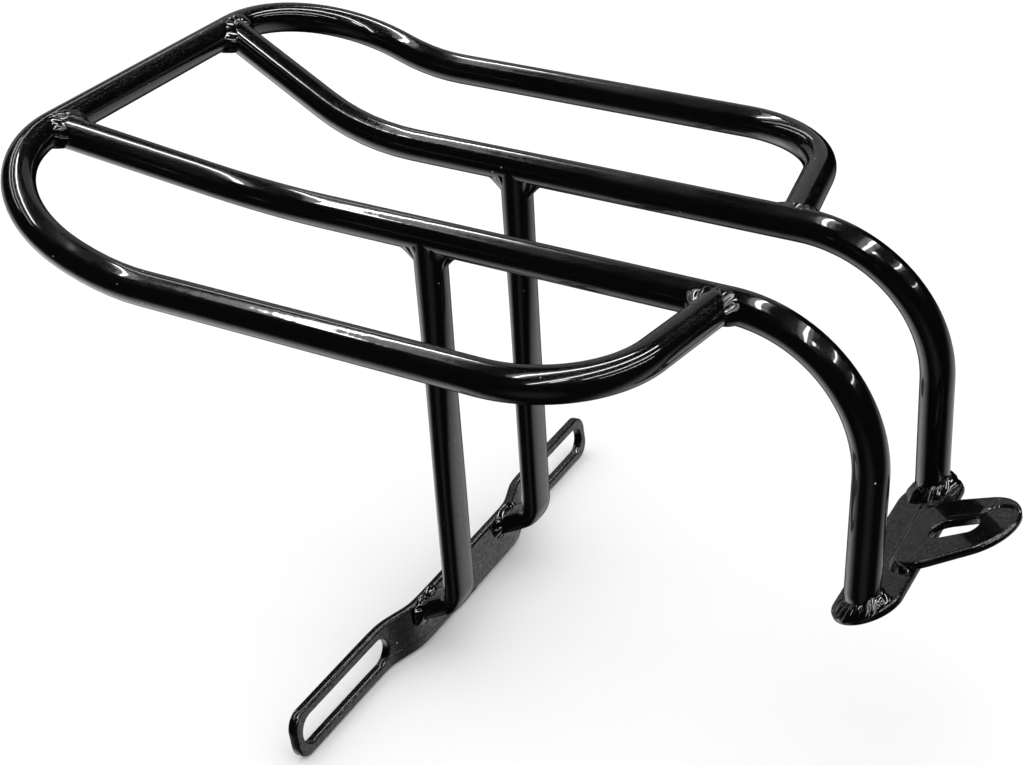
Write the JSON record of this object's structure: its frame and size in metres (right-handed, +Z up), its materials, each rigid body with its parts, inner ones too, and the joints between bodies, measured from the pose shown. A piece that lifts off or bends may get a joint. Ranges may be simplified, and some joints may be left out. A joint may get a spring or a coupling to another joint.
{
  "type": "motorcycle luggage rack",
  "caption": "Welded round-bar luggage rack for a rear fender, with a kicked-up tail, two legs on a slotted cross strap and a slotted seat tab.",
  "frame": {"origin": "middle of the seat-bolt slot, on the underside of the seat tab", "axes": "+Z up, +Y rearwards along the deck to its kicked-up tail, +X to the rider's left"},
  "size_m": [0.244, 0.3709, 0.2196],
  "materials": {
    "gloss_black": "gloss",
    "weld_black": "gloss"
  },
  "bodies": {
    "root": {"outer_hoop": "gloss_black", "rail_left": "gloss_black", "rail_right": "gloss_black", "leg_left": "gloss_black", "leg_right": "gloss_black", "cross_strap": "gloss_black", "foot_plate": "gloss_black", "seat_tab": "gloss_black", "weld_rail_rear_left": "weld_black", "weld_rail_rear_right": "weld_black", "weld_hoop_front_left": "weld_black", "weld_hoop_front_right": "weld_black", "weld_leg_top_left": "weld_black", "weld_leg_top_right": "weld_black", "weld_leg_foot_left": "weld_black", "weld_leg_foot_right": "weld_black", "weld_drop_left": "weld_black", "weld_drop_right": "weld_black", "weld_seat_tab": "weld_black"}
  },
  "joints": []
}
